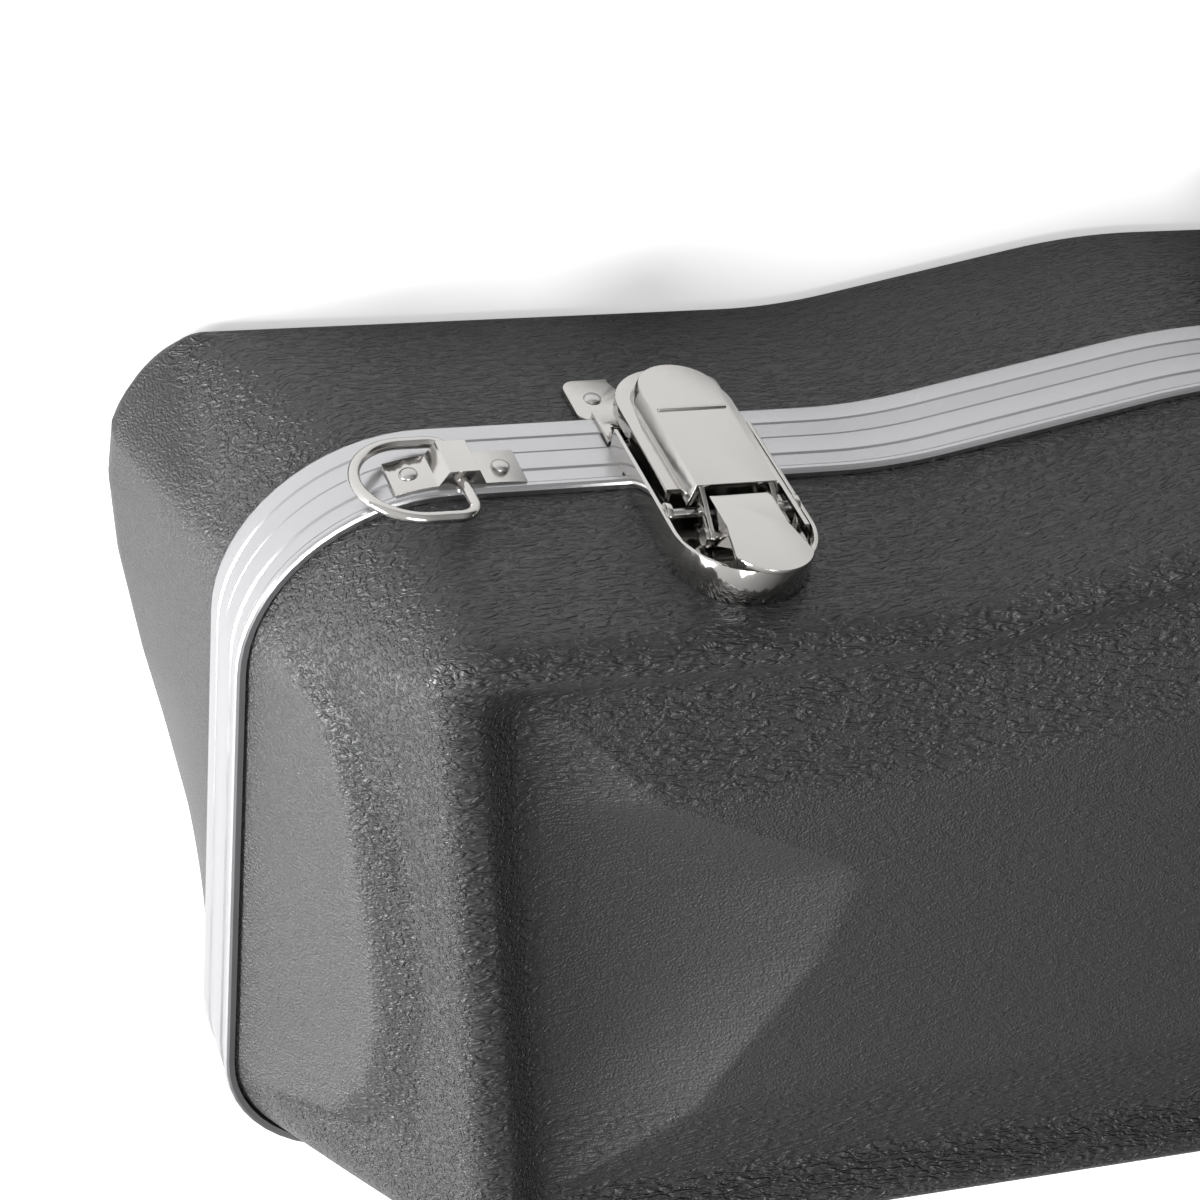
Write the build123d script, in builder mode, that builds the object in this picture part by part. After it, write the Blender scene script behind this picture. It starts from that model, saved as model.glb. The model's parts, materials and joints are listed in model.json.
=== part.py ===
"""Moulded trumpet case with an aluminium valance, two draw latches and two strap rings.

The case lies flat: base below, lid above. X runs along the case with the narrow end at +X and
the bell end at -X, Y runs from the latch side (-Y) to the hinge side (+Y), and Z is up.
The origin is the middle of the footprint, on the surface that the case rests on.
All sizes are in millimetres.
"""
from math import asin, atan2, cos, degrees, hypot, pi, radians, sin, sqrt, tan
import os

from build123d import *

os.makedirs("parts", exist_ok=True)

# ---------------------------------------------------------------- driving dimensions
case_length = 586.0          # overall, narrow end to bell end
narrow_width = 240.0         # over the valance, latch side to hinge side, at the narrow end
bell_rise = 21.0             # how much further the latch side stands out at the bell end
shoulder_foot = 174.0        # from the narrow end to where the latch side starts to rise
shoulder_angle = 12.7        # degrees, slope of the rising stretch
narrow_end_slant = 20.0      # the narrow end leans in this much towards the hinge side
bell_end_slant = 8.0         # the bell end leans in this much towards the hinge side

narrow_latch_radius = 50.0   # corner radii of the valance, seen from above
narrow_hinge_radius = 46.0
bell_hinge_radius = 56.0
bell_latch_radius = 60.0
shoulder_top_radius = 190.0
shoulder_foot_radius = 145.0

valance_height = 13.0        # each half of the valance, from the seam
seam_gap = 0.5               # between the two halves when shut
leg_thickness = 1.6          # outer wall of the extrusion
web_height = 4.2             # the solid part next to the seam
inner_leg_height = 9.0       # how far the inner wall reaches from the seam
bead_height = 2.0            # rounded bead at the shell edge
bead_proud = 0.6
lip_height = 4.6             # wide smooth lip next to the seam
lip_proud = 0.4
groove_width = 0.6
groove_depth = 0.5
groove_places = (6.2, 8.0)   # from the seam
tongue_width = 1.2
tongue_depth = 2.0
tongue_clearance = 0.5

shell_wall = 3.0
channel_clearance = 0.0      # between the shell wall and the channel that grips it
shell_depth = 62.0           # from the valance edge to the crest of the rim
rim_fillet = 8.0
crest_width = 10.5           # from the outer face at the rim to the edge of the panel recess
valley_depth = 7.0           # groove inside the rim, below the crest
plateau_depth = 2.0          # raised panel, below the crest
valley_width = 20.0          # from the outer face at the rim to the bottom of the groove
facet_width = 58.0           # from the outer face at the rim to the raised panel
panel_root = 0.8             # the facets start this far below the bottom of the groove
notch_depth = 52.0           # the end facet reaches this far into the raised panel
notch_share = 0.34           # where its corners are, as a share of the panel's end
end_bow = 1.2                # the groove bows outwards this much at the narrow end

lid_wall_draft = 3.0         # how far the rim stands in from the valance, long sides
lid_end_draft = (30.0, 60.0)     # narrow end, at the latch corner and the hinge corner
lid_bell_draft = (26.0, 30.0)    # bell end, hinge corner and latch corner
base_wall_draft = 3.5
base_end_draft = (-6.0, 18.0)    # the base swells out at the latch corner
base_swell = 4.2                 # how far that corner stands out beyond the plain valance
base_bell_draft = (14.0, 10.0)

foot_proud = 9.0             # rubber feet on the hinge side, beyond the valance
foot_radius = 11.0
foot_place = 30.0            # from the valance edge to the middle of a foot
foot_spread = 190.0          # from the middle of the case to a foot

hinge_seat = 0.6             # the leaves lie on the bead of the valance
hinge_axis_out = 4.2         # hinge pin, outboard of the valance
knuckle_radius = 3.0
hinge_pin_radius = 1.5
running_clearance = 0.05
leaf_thickness = 1.4
leaf_width = 45.0
leaf_height = 10.0
leaf_start = 2.6             # the leaves start this far from the seam
knuckle_gap = 0.4
hinge_places = (-195.0, 0.0, 195.0)

latch_from_narrow_end = 117.5
latch_from_bell_end = 118.0
ring_from_narrow_end = 53.0
ring_from_bell_end = 66.0

pan_width = 39.0
pan_start = 0.6              # the pan starts this far above the seam
pan_end = 64.0               # its round end, above the seam
pan_rim = 6.6                # its rim, above the valance
pan_floor = 1.7              # its floor, above the valance
pan_sheet = 1.1
pan_rivets = ((15.2, 27.0), (-15.2, 27.0), (0.0, 55.0))  # across and up from the seam
pan_seat = 4.5               # its skirt reaches this far in, where the shell cuts it off
lug_place = 16.9             # inner face of the lugs that hold the lever pin

hook_width = 32.6
hook_tip = 22.0              # from the seam down to its round end over the keeper
skirt_end = 31.0             # from the seam up to the end of its skirt
hook_end = 36.5              # from the seam up to the end of its raised plate
skirt_top = 9.0              # outer face of the skirt above the valance
skirt_low = 5.0              # the edge of the skirt, above the valance
plate_slope = 1.6            # the sides of the raised plate lean out this much
plate_top = 14.0             # outer face of the raised plate above the valance
hook_sheet = 1.3
plate_width = 22.2
arm_place = 9.0              # inner face of the two arms that carry the link pin
arm_sheet = 1.2
arm_low = 7.4                # the arms pass over the lever pin at this height
arm_start = 20.0
cross_rib = 3.5              # rib across the raised plate, above the seam
cross_rib_radius = 0.6
hook_lip_width = 11.0
hook_lip_low = 2.5           # the lip reaches down to this height above the valance
long_rail_end = 49.0         # one rail of the skirt runs on past the joint

pivot_place = 36.5           # lever pin, above the seam
pivot_out = 5.5              # lever pin, above the valance
link_place = 46.0            # link pin, above the seam
link_out = 4.9
pin_radius = 1.3
pin_head_radius = 2.3
pin_head = 1.0
pin_eye_radius = 2.9

lever_top = 12.4             # outer face of the lever above the valance
lever_sheet = 1.3
lever_width = 16.8           # at the joint
lever_tab_width = 21.2       # at the round free end
lever_end = 71.0             # from the seam to the free end
lever_start = 39.2
lever_straight = 52.0        # the lever widens from here
lever_round = 7.0            # length of its round end
cheek_end = 60.0

keeper_width = 45.0
keeper_neck = 39.0           # width over the valance
keeper_start = 0.9           # from the seam down to the near edge
keeper_end = 32.0            # from the seam down to the end of the ears
keeper_step = 13.6           # the plate steps down to the shell here
keeper_sheet = 1.1
keeper_shell_face = 0.4      # the ears stop this far inside the valance face
keeper_lip_width = 18.0
keeper_lip_place = 13.0      # outer face of the lip, below the seam
keeper_lip_top = 4.5
keeper_lip_sheet = 1.3
hook_lip_gap = 0.6
rivet_radius = 2.5
rivet_crown = 1.3
keeper_rivet_spread = 16.0   # from the middle to a rivet
keeper_rivet_place = 23.0
dimple_radius = 2.6
dimple_place = (16.6, 6.9)   # from the middle, and below the seam
dimple_crown = 0.5

ring_wire = 3.1              # strap ring, diameter of the wire
ring_height = 35.0           # outside, along the straight bar
ring_reach = 31.0            # outside, from the bar to the round side
ring_corner = 6.5            # outside radius at the ends of the bar
ring_drop = 5.0              # the ring sits this much off the middle of its bracket
bracket_length = 35.0
bracket_start = 0.4          # from the seam
bracket_height = 13.5
bracket_sheet = 1.2
tunnel_width = 14.0
tunnel_top_width = 8.0
tunnel_height = 5.4
bar_out = 2.7                # middle of the bar above the valance
bracket_rivet_spread = 12.2

handle_length = 118.0        # between the middles of the two bosses
handle_from_narrow_end = 357.0
handle_out = 11.5            # handle pins, outboard of the valance
handle_drop = 6.5            # handle pins, below the seam
bail_reach = 38.0            # from the pins to the middle of the grip
bail_radius = 5.0
bail_bend = 18.0
boss_radius = 6.0
boss_length = 11.0
handle_pin_radius = 2.5
handle_pin_head = 4.0
grip_radius = 9.5
grip_length = 76.0
grip_wave = 1.0              # depth of the finger grooves
grip_waves = 4
mount_width = 26.0           # handle mounts on the valance
mount_height = 12.0
mount_sheet = 2.0
ear_sheet = 2.4
ear_radius = 6.0

insert_clearance = 4.6       # inserts stand this far in from the outer face of the shell
insert_gap = 5.0             # each insert stops this far from the seam
trumpet_y = -48.0            # middle line of the trumpet's bell
bell_cup_x = -262.0          # where the bell's rim lies
tube_end_x = 150.0
insert_depth = 51.6          # from the valance edge to the bottom of each insert
lid_blocks = (("lid_insert_bell", -300.0, -150.3), ("lid_insert_valves", -149.7, 9.7),
              ("lid_insert_tubes", 10.3, 300.0))     # the lid's foam blocks, along X
bell_profile = ((0, 60.0), (10, 52.0), (24, 40.0), (46, 27.0), (80, 18.0), (130, 13.0), (412, 10.0))
trumpet_pocket = (300.0, 84.0, 26.0)     # length, width, depth below the top of the insert
trumpet_pocket_place = (0.0, -12.0)
valve_pocket = (72.0, 124.0, 46.0)
valve_pocket_place = (-38.0, 0.0)
mouthpipe_pocket = (120.0, 30.0, 26.0)
mouthpipe_place = (190.0, 12.0)
accessory_pocket = (190.0, 60.0, 50.0)
accessory_place = (122.0, 88.0)
pocket_corner = 9.0
socket_radius = 13.0
socket_depth = 40.0
socket_places = ((-118.0, 88.0), (-156.0, 88.0))

# ---------------------------------------------------------------- worked-out places
hinge_side_y = (narrow_width + bell_rise + handle_out + grip_radius - foot_proud) / 2
latch_side_y = hinge_side_y - narrow_width
bell_side_y = latch_side_y - bell_rise
narrow_face_x = case_length / 2 - base_swell         # the outermost points of the plain valance
bell_face_x = bead_proud - case_length / 2
narrow_lean = degrees(atan2(narrow_end_slant, narrow_width))
bell_lean = degrees(atan2(bell_end_slant, narrow_width + bell_rise))
narrow_corner_start = narrow_latch_radius * tan(radians(90 + narrow_lean) / 2)
bell_corner_start = bell_latch_radius * tan(radians(90 + bell_lean) / 2)
narrow_x = narrow_face_x - narrow_latch_radius + narrow_corner_start
bell_x = bell_face_x + bell_latch_radius - bell_corner_start
shoulder_x = narrow_face_x - shoulder_foot
bell_flat_x = shoulder_x - bell_rise / tan(radians(shoulder_angle))
seam_z = shell_depth + valance_height
shell_face = leg_thickness + channel_clearance       # outer face of the shell at the valance
shell_back = shell_face + shell_wall
inner_leg_face = shell_back + channel_clearance
valance_depth = inner_leg_face + 1.2
knee_height = valance_height + 0.5                   # the shell wall starts to lean in here

# The valance outline: corner points in order, anticlockwise seen from above.
case_corners = [
    (narrow_x, latch_side_y),
    (narrow_x - narrow_end_slant, hinge_side_y),
    (bell_x + bell_end_slant, hinge_side_y),
    (bell_x, bell_side_y),
    (bell_flat_x, bell_side_y),
    (shoulder_x, latch_side_y),
]
valance_radii = [narrow_latch_radius, narrow_hinge_radius, bell_hinge_radius, bell_latch_radius,
                 shoulder_top_radius, shoulder_foot_radius]
rim_radii = [12.0, 14.0, 16.0, 18.0, shoulder_top_radius, shoulder_foot_radius]


def crossing(a, b, c, d):
    """Where the line through a and b meets the line through c and d."""
    ax, ay, bx, by, cx, cy, dx, dy = *a, *b, *c, *d
    det = (ax - bx) * (cy - dy) - (ay - by) * (cx - dx)
    m, n = ax * by - ay * bx, cx * dy - cy * dx
    return ((m * (cx - dx) - (ax - bx) * n) / det, (m * (cy - dy) - (ay - by) * n) / det)


def moved_in(corners, insets):
    """The outline with each side moved inwards; an inset is one number or (start, end)."""
    sides = []
    for i, inset in enumerate(insets):
        start, end = corners[i], corners[(i + 1) % len(corners)]
        first, last = inset if isinstance(inset, tuple) else (inset, inset)
        length = hypot(end[0] - start[0], end[1] - start[1])
        nx, ny = -(end[1] - start[1]) / length, (end[0] - start[0]) / length
        sides.append(((start[0] + nx * first, start[1] + ny * first),
                      (end[0] + nx * last, end[1] + ny * last)))
    return [crossing(*sides[i - 1], *sides[i]) for i in range(len(sides))]


def ring_radii(radii, inset):
    """Corner radii of a parallel outline; the shoulder's foot curves the other way."""
    return [r - inset for r in radii[:5]] + [radii[5] + inset]


def outline_face(z, corners, radii):
    """A filled outline on the plane at height z."""
    with BuildSketch(Plane.XY.offset(z)) as face:
        with BuildLine():
            FilletPolyline(*corners, radius=radii, close=True)
        make_face()
    return face.sketch


def valance_face(z, inset):
    """The valance outline moved in by one distance all round."""
    return outline_face(z, moved_in(case_corners, [inset] * 6), ring_radii(valance_radii, inset))


def rim_corners(drafts, inset):
    """Corner points at the rim; drafts holds the long sides, the narrow end and the bell end."""
    wall, narrow_end, bell_end = drafts
    narrow = tuple(d + inset + shell_face for d in narrow_end)
    bell = tuple(d + inset + shell_face for d in bell_end)
    side = wall + inset + shell_face
    return moved_in(case_corners, [narrow, side, bell, side, side, side])


def add_ring(outer_inset, inner_inset, z_low, z_high, mode=Mode.ADD):
    """A hoop that follows the valance, between two insets and two heights."""
    outer = valance_face(z_low, outer_inset)
    inner = valance_face(z_low, inner_inset)
    extrude(outer - inner, amount=z_high - z_low, mode=mode)


def add_form(side, drafts, inset, depth, start, mode=Mode.ADD):
    """Collar and drafted wall of one half. side is +1 for the lid and -1 for the base."""
    collar_z = seam_z + side * start
    knee_z = seam_z + side * knee_height
    top_z = seam_z + side * (valance_height + depth)
    share = (valance_height + depth - knee_height) / (valance_height + shell_depth - knee_height)
    wall, narrow_end, bell_end = drafts
    leans = (wall * share, [d * share for d in narrow_end], [d * share for d in bell_end])
    band = valance_face(collar_z, shell_face + inset)
    extrude(band, amount=abs(knee_z - collar_z), dir=(0, 0, side), mode=mode)
    knee = valance_face(knee_z, shell_face + inset)
    radii = [max(r - inset, 3.0) for r in rim_radii[:4]] + rim_radii[4:]
    rim = outline_face(top_z, rim_corners(leans, inset), radii)
    loft([knee, rim], ruled=True, mode=mode)


def panel_outlines(drafts):
    """Corner points of the groove and of the raised panel, which share their order."""
    groove = rim_corners(drafts, valley_width)
    raised = rim_corners(drafts, facet_width)
    (x0, y0), (x1, y1) = groove[0], groove[1]
    (u0, v0), (u1, v1) = raised[0], raised[1]
    groove_points = [(x0, y0)]
    raised_points = [(u0, v0)]
    for share in (notch_share, 1 - notch_share):
        groove_points.append((x0 + (x1 - x0) * share + end_bow, y0 + (y1 - y0) * share))
        raised_points.append((u0 + (u1 - u0) * share - notch_depth, v0 + (v1 - v0) * share))
    return groove_points + groove[1:], raised_points + raised[1:]


def add_panel(side, drafts, lowered, mode):
    """The hipped panel between the groove and the raised middle, or its hollow inside."""
    groove_points, raised_points = panel_outlines(drafts)
    radii = [0, 0, 0, 0, 0, 0, shoulder_top_radius, shoulder_foot_radius]
    crest_z = seam_z + side * (valance_height + shell_depth)
    low_depth = valley_depth + panel_root + lowered
    low = outline_face(crest_z - side * low_depth, groove_points, radii)
    high = outline_face(crest_z - side * (plateau_depth + lowered), raised_points, radii)
    loft([low, high], ruled=True, mode=mode)


def shell_half(side, drafts):
    """One moulded shell: outer form, rolled rim, recessed panel and the hollow inside."""
    crest_z = seam_z + side * (valance_height + shell_depth)
    mouth_radii = [8, 8, 8, 8, shoulder_top_radius, shoulder_foot_radius]
    floor_radii = [4, 4, 4, 4, shoulder_top_radius, shoulder_foot_radius]
    with BuildPart() as shell:
        add_form(side, drafts, 0, shell_depth, web_height + channel_clearance)
        rim_face = shell.faces().sort_by(Axis.Z)[-1 if side > 0 else 0]
        fillet(rim_face.outer_wire().edges(), radius=rim_fillet)
        mouth = outline_face(crest_z, rim_corners(drafts, crest_width), mouth_radii)
        floor_z = crest_z - side * valley_depth
        floor = outline_face(floor_z, rim_corners(drafts, valley_width), floor_radii)
        loft([mouth, floor], ruled=True, mode=Mode.SUBTRACT)
        add_panel(side, drafts, 0, Mode.ADD)
        hollow_depth = shell_depth - valley_depth - shell_wall
        add_form(side, drafts, shell_wall, hollow_depth, web_height, Mode.SUBTRACT)
        add_panel(side, drafts, shell_wall, Mode.SUBTRACT)
    return shell


def save(piece, name):
    """Label a finished piece and write it out."""
    piece.part.label = name
    export_step(piece.part, f"parts/{name}.step")


# ---------------------------------------------------------------- shells
lid_drafts = (lid_wall_draft, lid_end_draft, lid_bell_draft)
base_drafts = (base_wall_draft, base_end_draft, base_bell_draft)
save(shell_half(-1, base_drafts), "base_shell")
save(shell_half(1, lid_drafts), "lid_shell")


# ---------------------------------------------------------------- planes to build on
def face_plane(x, out=0.0):
    """On the latch side at x, facing out: its own X runs along the case and its Y up."""
    y = latch_side_y if x > shoulder_x else bell_side_y
    return Plane((x, y - out, seam_z), x_dir=(1, 0, 0), z_dir=(0, -1, 0))


def cross_plane(x, shift=0.0):
    """Across the latch side at x: its own X is up from the seam and its Y is out."""
    y = latch_side_y if x > shoulder_x else bell_side_y
    return Plane((x + shift, y, seam_z), x_dir=(0, 0, 1), z_dir=(1, 0, 0))


def hinge_plane(x):
    """Across the hinge side at x: its own X is up from the seam and its Y is out."""
    return Plane((x, hinge_side_y, seam_z), x_dir=(0, 0, 1), z_dir=(-1, 0, 0))


def corner_plane(x, out=0.0):
    """Like face_plane, but it follows the round corners at both ends."""
    turn = 0.0
    y = latch_side_y if x > shoulder_x else bell_side_y
    into_narrow = x - (narrow_x - narrow_corner_start)
    into_bell = (bell_x + bell_corner_start) - x
    if into_narrow > 0:
        turn = asin(into_narrow / narrow_latch_radius)
        y += narrow_latch_radius * (1 - cos(turn))
    elif into_bell > 0:
        turn = -asin(into_bell / bell_latch_radius)
        y += bell_latch_radius * (1 - cos(turn))
    normal = Vector(sin(turn), -cos(turn), 0)
    along = Vector(cos(turn), sin(turn), 0)
    return Plane(Vector(x, y, seam_z) + normal * out, x_dir=along, z_dir=normal)


def add_rivet(plane, x, y, radius=rivet_radius, crown=rivet_crown, mode=Mode.ADD):
    """A domed rivet head that stands on a plane, at x, y of the plane."""
    section = Plane(plane.from_local_coords(Vector(x, y, 0)), x_dir=plane.x_dir, z_dir=-plane.y_dir)
    with BuildSketch(section) as half:
        with BuildLine():
            RadiusArc((radius, 0), (0, crown), -(radius ** 2 + crown ** 2) / (2 * crown))
            Polyline((0, crown), (0, 0), (radius, 0))
        make_face()
    revolve(half.sketch, axis=Axis(section.origin, plane.z_dir), mode=mode)


# ---------------------------------------------------------------- valance
def valance_half(side):
    """One aluminium extrusion bent round the case: channel, bead, grooves and smooth lip."""
    def hoop(outer, inner, near, far, mode=Mode.ADD):
        low, high = sorted((seam_z + side * near, seam_z + side * far))
        add_ring(outer, inner, low, high, mode)

    face = seam_gap / 2
    with BuildPart() as valance:
        hoop(0, leg_thickness, face, valance_height)
        hoop(leg_thickness, valance_depth, face, web_height)
        hoop(inner_leg_face, valance_depth, web_height, inner_leg_height)
        hoop(-bead_proud, 0, valance_height - bead_height, valance_height)
        hoop(-lip_proud, 0, face, lip_height)
        for place in groove_places:
            hoop(0, groove_depth, place, place + groove_width, Mode.SUBTRACT)
        middle = valance_depth / 2
        if side > 0:
            half_tongue = tongue_width / 2
            hoop(middle - half_tongue, middle + half_tongue, -tongue_depth, face)
        else:
            half_groove = tongue_width / 2 + tongue_clearance
            hoop(middle - half_groove, middle + half_groove, face,
                 tongue_depth + tongue_clearance, Mode.SUBTRACT)
    return valance


base_valance = valance_half(-1)
lid_valance = valance_half(1)
save(base_valance, "base_valance")
save(lid_valance, "lid_valance")


# ---------------------------------------------------------------- outer bodies, to fit pieces to
def closed_body(side, drafts):
    """The outside of one half, shell and valance together, as one solid."""
    with BuildPart() as body:
        add_form(side, drafts, 0, shell_depth, 0)
        for proud, near, far in ((0, 0, valance_height), (lip_proud, 0, lip_height),
                                 (bead_proud, valance_height - bead_height, valance_height)):
            low, high = sorted((seam_z + side * near, seam_z + side * far))
            extrude(valance_face(low, -proud), amount=high - low)
    return body.part


lid_body = closed_body(1, lid_drafts)
base_body = closed_body(-1, base_drafts)


# ---------------------------------------------------------------- hinges
def hinge_leaf(x, side):
    """A leaf on the bead of the valance: two knuckles on the base, one on the lid."""
    pitch = leaf_width / 3
    root = side * (leaf_start + 2)
    with BuildPart() as leaf:
        with BuildSketch(hinge_plane(x)):
            with Locations((side * (leaf_start + leaf_height / 2), hinge_seat + leaf_thickness / 2)):
                Rectangle(leaf_height, leaf_thickness)
        extrude(amount=leaf_width / 2, both=True)
        for shift in ((-pitch, pitch) if side < 0 else (0,)):
            with BuildSketch(hinge_plane(x + shift)):
                with Locations((0, hinge_axis_out)):
                    Circle(knuckle_radius)
                Polygon((side * leaf_start, hinge_seat), (root, hinge_seat),
                        (root, hinge_seat + leaf_thickness), (side * knuckle_radius, hinge_axis_out),
                        (0, hinge_axis_out),
                        (side * knuckle_radius / 2, hinge_axis_out - knuckle_radius * 0.866),
                        align=None)
            extrude(amount=(pitch - knuckle_gap) / 2, both=True)
        with BuildSketch(hinge_plane(x)):
            with Locations((0, hinge_axis_out)):
                Circle(hinge_pin_radius + (running_clearance if side > 0 else 0))
        extrude(amount=leaf_width, both=True, mode=Mode.SUBTRACT)
    return leaf


def hinge_pin(x):
    """A pin with a flat head outside each end knuckle."""
    with BuildPart() as pin:
        with BuildSketch(hinge_plane(x)):
            with Locations((0, hinge_axis_out)):
                Circle(hinge_pin_radius)
        extrude(amount=leaf_width / 2 + pin_head, both=True)
        for shift in (-1, 1):
            middle = shift * (leaf_width - knuckle_gap + pin_head) / 2
            with BuildSketch(hinge_plane(x + middle)):
                with Locations((0, hinge_axis_out)):
                    Circle(pin_head_radius)
            extrude(amount=pin_head / 2, both=True)
    return pin


for number, place in enumerate(hinge_places, 1):
    save(hinge_leaf(place, -1), f"hinge_base_leaf_{number}")
    save(hinge_leaf(place, 1), f"hinge_lid_leaf_{number}")
    save(hinge_pin(place), f"hinge_pin_{number}")


# ---------------------------------------------------------------- latches
def pan_outline(plane, inset, near):
    """Straight sides and a round end."""
    half = pan_width / 2 - inset
    middle = pan_end - pan_width / 2
    with BuildSketch(plane) as outline:
        with BuildLine():
            Polyline((-half, middle), (-half, near), (half, near), (half, middle))
            ThreePointArc((half, middle), (0, pan_end - inset), (-half, middle))
        make_face()
    return outline.sketch


def latch_pan(x):
    """Pressed pan under a latch, with two lugs for the lever pin; its skirt follows the lid."""
    with BuildPart() as pan:
        extrude(pan_outline(face_plane(x, -pan_seat), 0, pan_start), amount=pan_seat + pan_rim)
        extrude(pan_outline(face_plane(x, pan_floor), pan_sheet, pan_start - 1), amount=pan_rim,
                mode=Mode.SUBTRACT)
        extrude(pan_outline(face_plane(x, -pan_seat), pan_sheet, pan_start + pan_sheet),
                amount=pan_seat + pan_floor - pan_sheet, mode=Mode.SUBTRACT)
        lug_sheet = pan_width / 2 - pan_sheet - lug_place
        for hand in (-1, 1):
            with BuildSketch(cross_plane(x, hand * (lug_place + lug_sheet / 2))):
                with Locations((pivot_place, pivot_out)):
                    Circle(pin_eye_radius)
                with Locations((pivot_place, (pan_floor + pivot_out) / 2)):
                    Rectangle(pin_eye_radius * 2, pivot_out - pan_floor)
            extrude(amount=lug_sheet / 2, both=True)
        with BuildSketch(cross_plane(x)):
            with Locations((pivot_place, pivot_out)):
                Circle(pin_radius)
        extrude(amount=pan_width / 2 - pan_sheet, both=True, mode=Mode.SUBTRACT)
        add(lid_body, mode=Mode.SUBTRACT)
    return pan


def latch_pivot_pin(x):
    """Plain pin between the lugs of the pan."""
    with BuildPart() as pin:
        with BuildSketch(cross_plane(x)):
            with Locations((pivot_place, pivot_out)):
                Circle(pin_radius)
        extrude(amount=pan_width / 2 - pan_sheet, both=True)
    return pin


def latch_lever(x):
    """Lever plate that widens to a round thumb end, with two cheeks that hold both pins."""
    half, tab = lever_width / 2, lever_tab_width / 2
    under = lever_top - lever_sheet
    with BuildPart() as lever:
        with BuildSketch(face_plane(x, under)):
            with BuildLine():
                Polyline((-tab, lever_end - lever_round), (-half, lever_straight), (-half, lever_start),
                         (half, lever_start), (half, lever_straight), (tab, lever_end - lever_round))
                ThreePointArc((tab, lever_end - lever_round), (0, lever_end),
                              (-tab, lever_end - lever_round))
            make_face()
        extrude(amount=lever_sheet)
        for hand in (-1, 1):
            with BuildSketch(cross_plane(x, hand * (half - lever_sheet / 2))):
                Polygon((pivot_place - pin_eye_radius, pivot_out), (pivot_place, pivot_out - pin_eye_radius),
                        (link_place, link_out - pin_eye_radius), (cheek_end, under),
                        (cheek_end, lever_top), (lever_start, lever_top), align=None)
                with Locations((pivot_place, pivot_out), (link_place, link_out)):
                    Circle(pin_eye_radius)
            extrude(amount=lever_sheet / 2, both=True)
        with BuildSketch(cross_plane(x)):
            with Locations((pivot_place, pivot_out)):
                Circle(pin_radius + running_clearance)
            with Locations((link_place, link_out)):
                Circle(pin_radius)
        extrude(amount=lever_width, both=True, mode=Mode.SUBTRACT)
    return lever


def latch_link_pin(x):
    """Headed pin that joins the hook's arms to the lever."""
    reach = arm_place + arm_sheet + running_clearance
    with BuildPart() as pin:
        with BuildSketch(cross_plane(x)):
            with Locations((link_place, link_out)):
                Circle(pin_radius)
        extrude(amount=reach, both=True)
        for hand in (-1, 1):
            with BuildSketch(cross_plane(x, hand * (reach + pin_head / 2))):
                with Locations((link_place, link_out)):
                    Circle(pin_head_radius)
            extrude(amount=pin_head / 2, both=True)
    return pin


def hook_outline(plane, half, inset, end):
    """A strip with a round tip towards the keeper."""
    middle = hook_width / 2 - hook_tip
    with BuildSketch(plane) as outline:
        with BuildLine():
            Polyline((-half + inset, middle), (-half + inset, end), (half - inset, end),
                     (half - inset, middle))
            ThreePointArc((half - inset, middle), (0, middle - half + inset), (-half + inset, middle))
        make_face()
    return outline.sketch


def latch_hook(x):
    """Pressed hook plate: skirt, raised middle, a lip for the keeper and two arms to the lever."""
    skirt, plate = hook_width / 2, plate_width / 2
    foot = plate + plate_slope
    with BuildPart() as hook:
        extrude(hook_outline(face_plane(x, skirt_low), skirt, 0, skirt_end),
                amount=skirt_top - skirt_low)
        loft([hook_outline(face_plane(x, skirt_top - hook_sheet), foot, 0, hook_end),
              hook_outline(face_plane(x, plate_top), plate, 0, hook_end)], ruled=True)
        extrude(hook_outline(face_plane(x, skirt_low), skirt, hook_sheet, skirt_end + 1),
                amount=skirt_top - hook_sheet - skirt_low, mode=Mode.SUBTRACT)
        loft([hook_outline(face_plane(x, skirt_top - hook_sheet), foot, hook_sheet, hook_end + 1),
              hook_outline(face_plane(x, plate_top - hook_sheet), plate, hook_sheet, hook_end + 1)],
             ruled=True, mode=Mode.SUBTRACT)
        with BuildSketch(cross_plane(x)):
            with Locations((cross_rib, plate_top)):
                Circle(cross_rib_radius)
        extrude(amount=plate - 1.5, both=True)
        lip_near = keeper_lip_place + hook_lip_gap
        lip_root = plate_top - hook_sheet / 2
        with BuildSketch(cross_plane(x)):
            with Locations((-lip_near - hook_sheet / 2, (hook_lip_low + lip_root) / 2)):
                Rectangle(hook_sheet, lip_root - hook_lip_low)
        extrude(amount=hook_lip_width / 2, both=True)
        for hand in (-1, 1):
            with BuildSketch(cross_plane(x, hand * (arm_place + arm_sheet / 2))):
                Polygon((arm_start, arm_low), (arm_start, lip_root), (hook_end, lip_root),
                        (link_place + 2, link_out + 2.1), (link_place + 2, link_out),
                        (link_place - pin_eye_radius, link_out), (link_place - 4.2, arm_low), align=None)
                with Locations((link_place, link_out)):
                    Circle(pin_eye_radius)
            extrude(amount=arm_sheet / 2, both=True)
        with BuildSketch(cross_plane(x)):
            with Locations((link_place, link_out)):
                Circle(pin_radius + running_clearance)
        extrude(amount=skirt, both=True, mode=Mode.SUBTRACT)
        with BuildSketch(face_plane(x, skirt_top - hook_sheet)):
            with Locations((hook_sheet / 2 - skirt, (skirt_end - 1 + long_rail_end) / 2)):
                Rectangle(hook_sheet, long_rail_end - skirt_end + 1)
        extrude(amount=hook_sheet)
    return hook


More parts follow.
